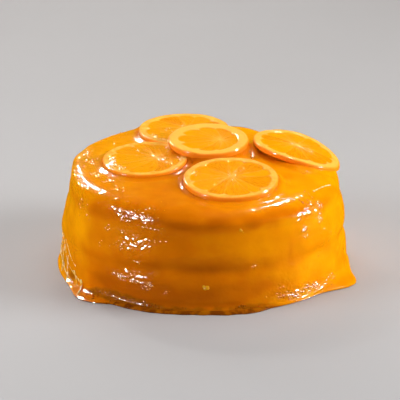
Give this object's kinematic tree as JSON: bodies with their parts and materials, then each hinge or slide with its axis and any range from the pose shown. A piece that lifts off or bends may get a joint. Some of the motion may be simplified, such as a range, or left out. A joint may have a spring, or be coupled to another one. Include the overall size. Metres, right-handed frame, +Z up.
{
  "type": "glazed orange layer cake",
  "caption": "Whole round orange layer cake coated in thick glossy orange glaze, with candied orange slices overlapping on its crown. Solid, uncut, standing on a flat underside.",
  "frame": {"origin": "middle of the flat underside, on the axis of the tin that the cake was baked in", "axes": "+Z up through the crown; -Y towards the viewer of the picture; +X to the viewer's right"},
  "size_m": [0.2359, 0.2418, 0.0992],
  "materials": {
    "orange_glaze": "thick wet sugar glaze, very glossy and slightly see-through",
    "candied_orange": "syrupy candied fruit under a thin coat of glaze"
  },
  "bodies": {
    "root": {"cake": "orange_glaze", "orange_slice_back": "candied_orange", "orange_slice_left": "candied_orange", "orange_slice_front": "candied_orange", "orange_slice_right": "candied_orange", "orange_slice_middle": "candied_orange"}
  },
  "joints": []
}
